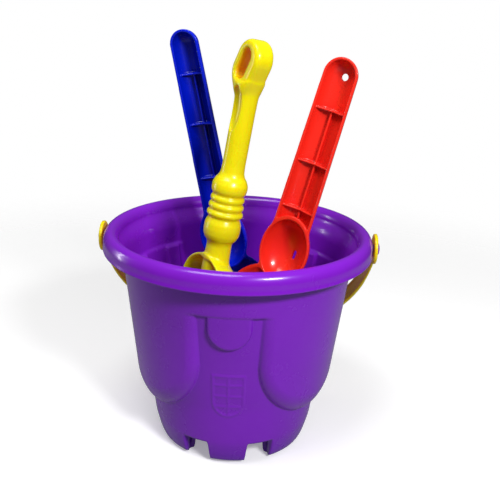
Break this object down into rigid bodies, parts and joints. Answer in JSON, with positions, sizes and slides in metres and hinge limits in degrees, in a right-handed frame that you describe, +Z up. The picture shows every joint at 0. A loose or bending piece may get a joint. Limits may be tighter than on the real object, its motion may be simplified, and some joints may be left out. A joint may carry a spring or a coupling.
{
  "type": "sand bucket",
  "caption": "Castle-shaped sand bucket with crenellated feet, a rolled rim and a swinging strap bail, with scoops and a ring-handled shovel standing inside.",
  "frame": {"origin": "centre of the bucket's footprint, on the ground", "axes": "+Z up the bucket's axis, -Y out of the front gate panel, X along the bail's pivot axis"},
  "size_m": [0.2014, 0.1906, 0.2942],
  "materials": {
    "bucket": "glossy moulded polypropylene",
    "bail": "glossy moulded polypropylene",
    "blue_tool": "glossy moulded polypropylene",
    "yellow_tool": "glossy moulded polypropylene",
    "red_tool": "glossy moulded polypropylene"
  },
  "bodies": {
    "bucket": {"bucket_body": "bucket"},
    "bail": {"bail_handle": "bail"},
    "blue_tool": {"blue_scoop": "blue_tool"},
    "yellow_tool": {"yellow_shovel": "yellow_tool"},
    "red_tool": {"red_scoop": "red_tool"}
  },
  "joints": [
    {"name": "bail_swing", "type": "hinge", "parent": "bucket", "child": "bail", "pos_m": [0, 0, 0.149], "axis": [1, 0, 0], "range_deg": [0, 100]},
    {"name": "blue_lift", "type": "slide", "parent": "bucket", "child": "blue_tool", "axis": [0, 0, 1], "range_m": [0, 0.18]},
    {"name": "yellow_lift", "type": "slide", "parent": "bucket", "child": "yellow_tool", "axis": [0, 0, 1], "range_m": [0, 0.18]},
    {"name": "red_lift", "type": "slide", "parent": "bucket", "child": "red_tool", "axis": [0, 0, 1], "range_m": [0, 0.18]}
  ]
}
